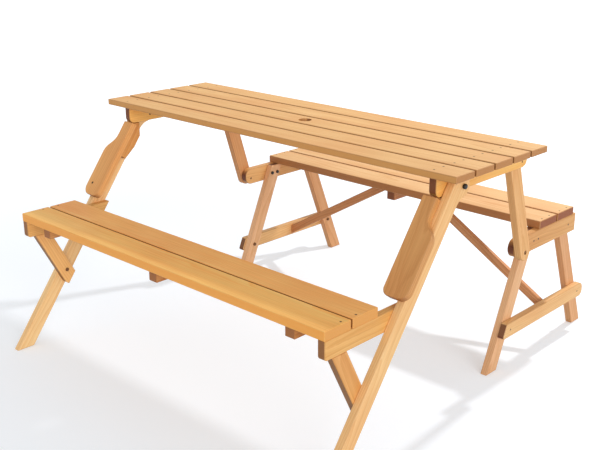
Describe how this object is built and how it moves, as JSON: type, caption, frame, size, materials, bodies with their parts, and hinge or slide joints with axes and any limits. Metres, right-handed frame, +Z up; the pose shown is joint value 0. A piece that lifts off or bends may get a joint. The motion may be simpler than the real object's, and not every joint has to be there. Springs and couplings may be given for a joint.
{
  "type": "convertible picnic table bench",
  "caption": "Wooden picnic table with slatted top and a seat on each side; the top folds up on hinge bolts into the backrest of one deep garden bench.",
  "frame": {"origin": "on the floor in the middle of the footprint", "axes": "+X along the benches, +Y from the front bench to the rear bench, +Z up"},
  "size_m": [1.38, 1.4312, 0.73],
  "materials": {
    "table_slat_wood": "oiled softwood, light honey",
    "seat_plank_wood": "oiled softwood, warm honey",
    "frame_wood": "oiled softwood, warm honey",
    "black_bolt": "black coated steel, satin",
    "zinc_washer": "zinc plated steel"
  },
  "bodies": {
    "rear_bench": {"lower_hinge_bolts": "black_bolt", "lower_hinge_washers": "zinc_washer", "rear_plank_back": "seat_plank_wood", "rear_plank_front": "seat_plank_wood", "rear_rail_left": "frame_wood", "rear_rail_right": "frame_wood", "rear_tie": "frame_wood", "seat_brace_left": "frame_wood", "seat_brace_right": "frame_wood", "seat_front_leg_left": "frame_wood", "seat_front_leg_right": "frame_wood", "seat_leg_bolts": "black_bolt", "seat_rear_leg_left": "frame_wood", "seat_rear_leg_right": "frame_wood", "stretcher_bolts": "black_bolt", "stretcher_left": "frame_wood", "stretcher_right": "frame_wood"},
    "table": {"table_batten_left": "frame_wood", "table_batten_right": "frame_wood", "table_leg_bolts": "black_bolt", "table_leg_left": "frame_wood", "table_leg_right": "frame_wood", "table_slat_1": "table_slat_wood", "table_slat_2": "table_slat_wood", "table_slat_3": "table_slat_wood", "table_slat_4": "table_slat_wood", "table_slat_5": "table_slat_wood"},
    "front_bench": {"arm_block_left": "frame_wood", "arm_block_right": "frame_wood", "arm_board_left": "frame_wood", "arm_board_right": "frame_wood", "bar_bolts": "black_bolt", "bar_left": "frame_wood", "bar_right": "frame_wood", "front_plank_back": "seat_plank_wood", "front_plank_front": "seat_plank_wood", "front_rail_left": "frame_wood", "front_rail_right": "frame_wood", "front_tie_left": "frame_wood", "front_tie_middle": "frame_wood", "front_tie_right": "frame_wood", "strut_left": "frame_wood", "strut_right": "frame_wood", "upper_hinge_bolts": "black_bolt", "upper_hinge_washers": "zinc_washer"}
  },
  "joints": [
    {"name": "table_fold", "type": "hinge", "parent": "rear_bench", "child": "table", "pos_m": [0, 0.23988, 0.38], "axis": [-1, 0, 0], "range_deg": [0, 107.71]},
    {"name": "front_bench_swing", "type": "hinge", "parent": "table", "child": "front_bench", "pos_m": [0, -0.16812, 0.678], "axis": [-1, 0, 0], "range_deg": [-107.71, 0]}
  ],
  "couplings": [
    {"joint": "front_bench_swing", "follows": "table_fold", "ratio": -1}
  ]
}
